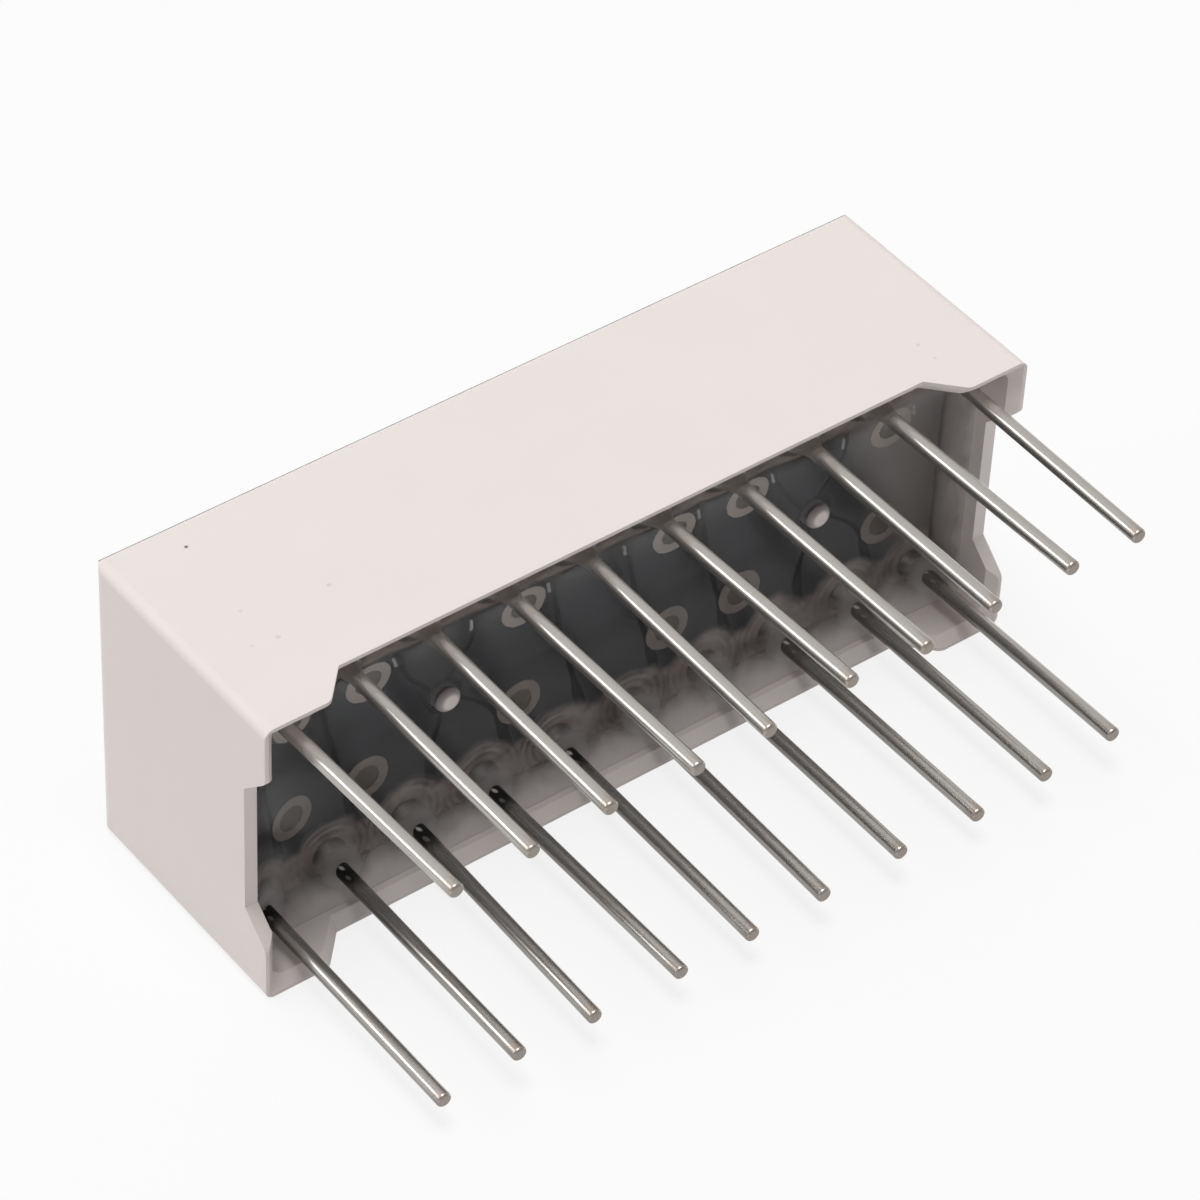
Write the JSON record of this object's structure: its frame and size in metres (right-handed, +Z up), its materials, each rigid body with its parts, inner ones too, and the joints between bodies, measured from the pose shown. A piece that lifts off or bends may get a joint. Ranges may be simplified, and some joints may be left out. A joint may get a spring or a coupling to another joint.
{
  "type": "led bar graph",
  "caption": "LED bar graph in a white dual-in-line housing: dies in reflector wells behind a flat lit face, a potted circuit board and straight rows of round pins.",
  "frame": {"origin": "centre of the pin grid on the plane of the four feet", "axes": "+X along the row of segments, +Y out of the lit face with the pins along -Y, +Z up from the long wall that the part lies on"},
  "size_m": [0.0252, 0.0142, 0.0098],
  "materials": {
    "white_plastic": "moulded, satin",
    "board_laminate": "dark solder mask",
    "masked_copper": "copper under dark mask",
    "gold_plating": "plated",
    "solder": "solder",
    "gold_wire": "drawn",
    "clear_resin": "clear cast resin",
    "tinned_wire": "bright tin",
    "die": "sawn chip",
    "milky_resin": "diffusing cast resin"
  },
  "bodies": {
    "root": {"housing": "white_plastic", "circuit_board": "board_laminate", "pin_pads": "masked_copper", "ring_lands": "masked_copper", "die_lands": "gold_plating", "solder_joints": "solder", "bond_wires": "gold_wire", "potting": "clear_resin", "pin_01": "tinned_wire", "pin_02": "tinned_wire", "pin_03": "tinned_wire", "pin_04": "tinned_wire", "pin_05": "tinned_wire", "pin_06": "tinned_wire", "pin_07": "tinned_wire", "pin_08": "tinned_wire", "pin_09": "tinned_wire", "pin_10": "tinned_wire", "pin_11": "tinned_wire", "pin_12": "tinned_wire", "pin_13": "tinned_wire", "pin_14": "tinned_wire", "pin_15": "tinned_wire", "pin_16": "tinned_wire", "pin_17": "tinned_wire", "pin_18": "tinned_wire", "pin_19": "tinned_wire", "pin_20": "tinned_wire", "led_die_01": "die", "led_die_02": "die", "led_die_03": "die", "led_die_04": "die", "led_die_05": "die", "led_die_06": "die", "led_die_07": "die", "led_die_08": "die", "led_die_09": "die", "led_die_10": "die", "light_bar_01": "milky_resin", "light_bar_02": "milky_resin", "light_bar_03": "milky_resin", "light_bar_04": "milky_resin", "light_bar_05": "milky_resin", "light_bar_06": "milky_resin", "light_bar_07": "milky_resin", "light_bar_08": "milky_resin", "light_bar_09": "milky_resin", "light_bar_10": "milky_resin"}
  },
  "joints": []
}
